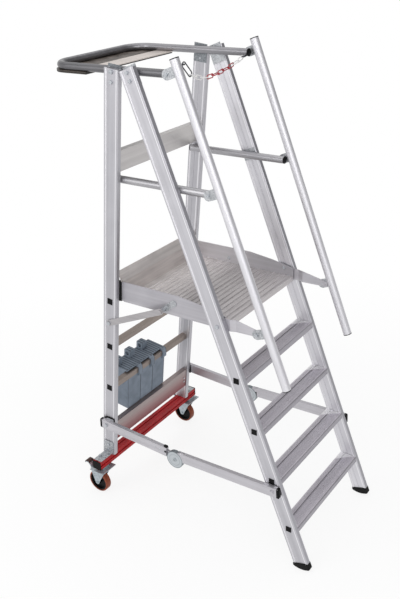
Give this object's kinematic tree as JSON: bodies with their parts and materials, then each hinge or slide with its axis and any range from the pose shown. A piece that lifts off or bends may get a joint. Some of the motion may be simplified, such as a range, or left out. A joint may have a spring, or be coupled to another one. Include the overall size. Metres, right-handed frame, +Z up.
{
  "type": "folding mobile platform steps",
  "caption": "Aluminium platform steps with treads, a ribbed deck inside guard rails, a folding rear frame on braked castors and hung ballast.",
  "frame": {"origin": "on the floor under the middle of the whole outline", "axes": "+Z up, +X to the climber's right, +Y the way the climber faces, from the steps to the castors"},
  "size_m": [0.884, 1.3578, 2.3004],
  "materials": {
    "mill_aluminium": "satin extruded",
    "bright_aluminium": "ribbed extruded",
    "galvanised_steel": "zinc plated",
    "zinc_bolts": "zinc plated",
    "black_plastic": "moulded",
    "black_rubber": "moulded",
    "brown_plywood": "film faced",
    "red_plastic": "moulded",
    "white_plastic": "moulded",
    "dark_steel": "blackened",
    "red_coat": "powder coated",
    "amber_tyre": "cast polyurethane",
    "brown_pedal": "moulded",
    "grey_blue_plastic": "moulded"
  },
  "bodies": {
    "front_frame": {"front_stile_left": "mill_aluminium", "front_stile_right": "mill_aluminium", "step_1": "bright_aluminium", "step_2": "bright_aluminium", "step_3": "bright_aluminium", "step_4": "bright_aluminium", "front_feet": "black_rubber", "step_plugs": "black_plastic", "top_rail": "mill_aluminium", "tube_plugs": "black_plastic", "tray_board": "brown_plywood", "tray_bar": "bright_aluminium", "mid_rail_left": "mill_aluminium", "mid_rail_right": "mill_aluminium", "handrail_left": "mill_aluminium", "handrail_right": "mill_aluminium", "rail_clips": "galvanised_steel", "lower_arms": "galvanised_steel", "front_bolts": "zinc_bolts", "pivot_bolts": "zinc_bolts", "chain_red": "red_plastic", "chain_white": "white_plastic", "chain_fittings": "dark_steel"},
    "rear_frame": {"rear_stile_left": "mill_aluminium", "rear_stile_right": "mill_aluminium", "rung_1": "mill_aluminium", "rung_2": "mill_aluminium", "rung_3": "mill_aluminium", "rung_plugs": "black_plastic", "knee_board": "bright_aluminium", "cross_channel": "mill_aluminium", "caster_beam": "red_coat", "beam_caps": "black_plastic", "corner_brackets": "galvanised_steel", "hinge_plates": "galvanised_steel", "rear_bolts": "zinc_bolts", "caster_mounts": "galvanised_steel", "ballast_2": "grey_blue_plastic"},
    "platform": {"deck": "bright_aluminium", "cheek_left": "mill_aluminium", "cheek_right": "mill_aluminium", "toe_board": "bright_aluminium", "strut_brackets": "galvanised_steel"},
    "strut_left": {"strut_left": "mill_aluminium"},
    "brace_rear_left": {"brace_rear_left": "mill_aluminium"},
    "brace_front_left": {"brace_front_left": "mill_aluminium"},
    "caster_left": {"fork_left": "galvanised_steel"},
    "wheel_left": {"core_left": "black_plastic", "tyre_left": "amber_tyre"},
    "brake_left": {"pedal_left": "brown_pedal"},
    "strut_right": {"strut_right": "mill_aluminium"},
    "brace_rear_right": {"brace_rear_right": "mill_aluminium"},
    "brace_front_right": {"brace_front_right": "mill_aluminium"},
    "caster_right": {"fork_right": "galvanised_steel"},
    "wheel_right": {"core_right": "black_plastic", "tyre_right": "amber_tyre"},
    "brake_right": {"pedal_right": "brown_pedal"},
    "ballast_1": {"ballast_1": "grey_blue_plastic"},
    "ballast_3": {"ballast_3": "grey_blue_plastic"}
  },
  "joints": [
    {"name": "rear_fold", "type": "hinge", "parent": "front_frame", "child": "rear_frame", "pos_m": [0, 0.28344, 2.229], "axis": [-1, 0, 0], "range_deg": [0, 24]},
    {"name": "platform_fold", "type": "hinge", "parent": "front_frame", "child": "platform", "pos_m": [0, -0.19618, 1.171], "axis": [1, 0, 0], "range_deg": [-0.5, 56.35]},
    {"name": "strut_left_turn", "type": "hinge", "parent": "rear_frame", "child": "strut_left", "pos_m": [-0.34, 0.43478, 1.031], "axis": [-1, 0, 0], "range_deg": [-0.5, 50.48]},
    {"name": "brace_rear_left_turn", "type": "hinge", "parent": "rear_frame", "child": "brace_rear_left", "pos_m": [-0.351, 0.51197, 0.42], "axis": [-1, 0, 0], "range_deg": [-0.5, 67.93]},
    {"name": "brace_front_left_turn", "type": "hinge", "parent": "brace_rear_left", "child": "brace_front_left", "pos_m": [-0.351, 0.07089, 0.372], "axis": [1, 0, 0], "range_deg": [-0.5, 164.81]},
    {"name": "caster_left_swivel", "type": "hinge", "parent": "rear_frame", "child": "caster_left", "pos_m": [-0.39, 0.54203, 0.15], "axis": [0, 0, 1], "continuous": true},
    {"name": "wheel_left_spin", "type": "hinge", "parent": "caster_left", "child": "wheel_left", "pos_m": [-0.39, 0.57203, 0.0625], "axis": [1, 0, 0], "continuous": true},
    {"name": "brake_left_press", "type": "hinge", "parent": "caster_left", "child": "brake_left", "pos_m": [-0.39, 0.57903, 0.138], "axis": [-1, 0, 0], "range_deg": [0, 10]},
    {"name": "strut_right_turn", "type": "hinge", "parent": "rear_frame", "child": "strut_right", "pos_m": [0.34, 0.43478, 1.031], "axis": [-1, 0, 0], "range_deg": [-0.5, 50.48]},
    {"name": "brace_rear_right_turn", "type": "hinge", "parent": "rear_frame", "child": "brace_rear_right", "pos_m": [0.351, 0.51197, 0.42], "axis": [-1, 0, 0], "range_deg": [-0.5, 67.93]},
    {"name": "brace_front_right_turn", "type": "hinge", "parent": "brace_rear_right", "child": "brace_front_right", "pos_m": [0.351, 0.07089, 0.372], "axis": [1, 0, 0], "range_deg": [-0.5, 164.81]},
    {"name": "caster_right_swivel", "type": "hinge", "parent": "rear_frame", "child": "caster_right", "pos_m": [0.39, 0.54203, 0.15], "axis": [0, 0, 1], "continuous": true},
    {"name": "wheel_right_spin", "type": "hinge", "parent": "caster_right", "child": "wheel_right", "pos_m": [0.39, 0.57203, 0.0625], "axis": [1, 0, 0], "continuous": true},
    {"name": "brake_right_press", "type": "hinge", "parent": "caster_right", "child": "brake_right", "pos_m": [0.39, 0.57903, 0.138], "axis": [-1, 0, 0], "range_deg": [0, 10]},
    {"name": "ballast_1_shift", "type": "slide", "parent": "rear_frame", "child": "ballast_1", "axis": [1, 0, 0], "range_m": [-0.11, 0]},
    {"name": "ballast_3_shift", "type": "slide", "parent": "rear_frame", "child": "ballast_3", "axis": [1, 0, 0], "range_m": [0, 0.19]}
  ],
  "couplings": [
    {"joint": "platform_fold", "follows": "rear_fold", "ratio": 2.3063},
    {"joint": "strut_left_turn", "follows": "rear_fold", "ratio": 2.0615},
    {"joint": "brace_rear_left_turn", "follows": "rear_fold", "ratio": 2.7889},
    {"joint": "brace_front_left_turn", "follows": "rear_fold", "ratio": 6.8252},
    {"joint": "strut_right_turn", "follows": "rear_fold", "ratio": 2.0615},
    {"joint": "brace_rear_right_turn", "follows": "rear_fold", "ratio": 2.7889},
    {"joint": "brace_front_right_turn", "follows": "rear_fold", "ratio": 6.8252}
  ]
}
